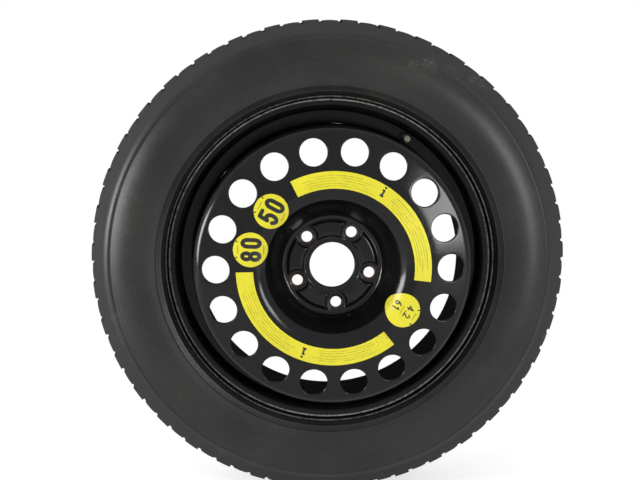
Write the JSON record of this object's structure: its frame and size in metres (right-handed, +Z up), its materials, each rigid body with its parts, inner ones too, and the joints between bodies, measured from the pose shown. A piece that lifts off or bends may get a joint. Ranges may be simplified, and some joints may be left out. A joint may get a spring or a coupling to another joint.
{
  "type": "spare wheel",
  "caption": "Narrow temporary spare car wheel: domed black steel disc with round vents welded into a rolled rim, with a tyre, a snap-in valve and yellow labels.",
  "frame": {"origin": "on the wheel axis, in the plane where the disc meets the hub", "axes": "+Y along the wheel axis towards the car, the outboard face looks to -Y, +Z up"},
  "size_m": [0.726, 0.2187, 0.726],
  "materials": {
    "tyre_rubber": "matte",
    "black_paint": "gloss",
    "yellow_film": "satin",
    "valve_rubber": "matte",
    "brass": "turned",
    "seal_rubber": "matte",
    "spring_steel": "bright",
    "cap_plastic": "satin"
  },
  "bodies": {
    "wheel": {"tyre": "tyre_rubber", "rim_barrel": "black_paint", "wheel_disc": "black_paint", "disc_welds": "black_paint", "label_arc_upper": "yellow_film", "label_arc_lower": "yellow_film", "label_speed_lower": "yellow_film", "label_speed_upper": "yellow_film", "label_pressure": "yellow_film", "valve_rubber": "valve_rubber", "valve_stem": "brass", "valve_core_body": "brass", "valve_core_seal": "seal_rubber", "valve_core_spring": "spring_steel"},
    "valve_pin": {"valve_core_pin": "brass"},
    "valve_cap": {"valve_cap": "cap_plastic", "valve_cap_seal": "seal_rubber"}
  },
  "joints": [
    {"name": "valve_pin_press", "type": "slide", "parent": "wheel", "child": "valve_pin", "axis": [0.0404, 0.9971, 0.0652], "range_m": [0, 0.0015], "stiffness_N_per_m": 300},
    {"name": "valve_cap_off", "type": "slide", "parent": "wheel", "child": "valve_cap", "axis": [-0.0404, -0.9971, -0.0652], "range_m": [0, 0.02]}
  ]
}
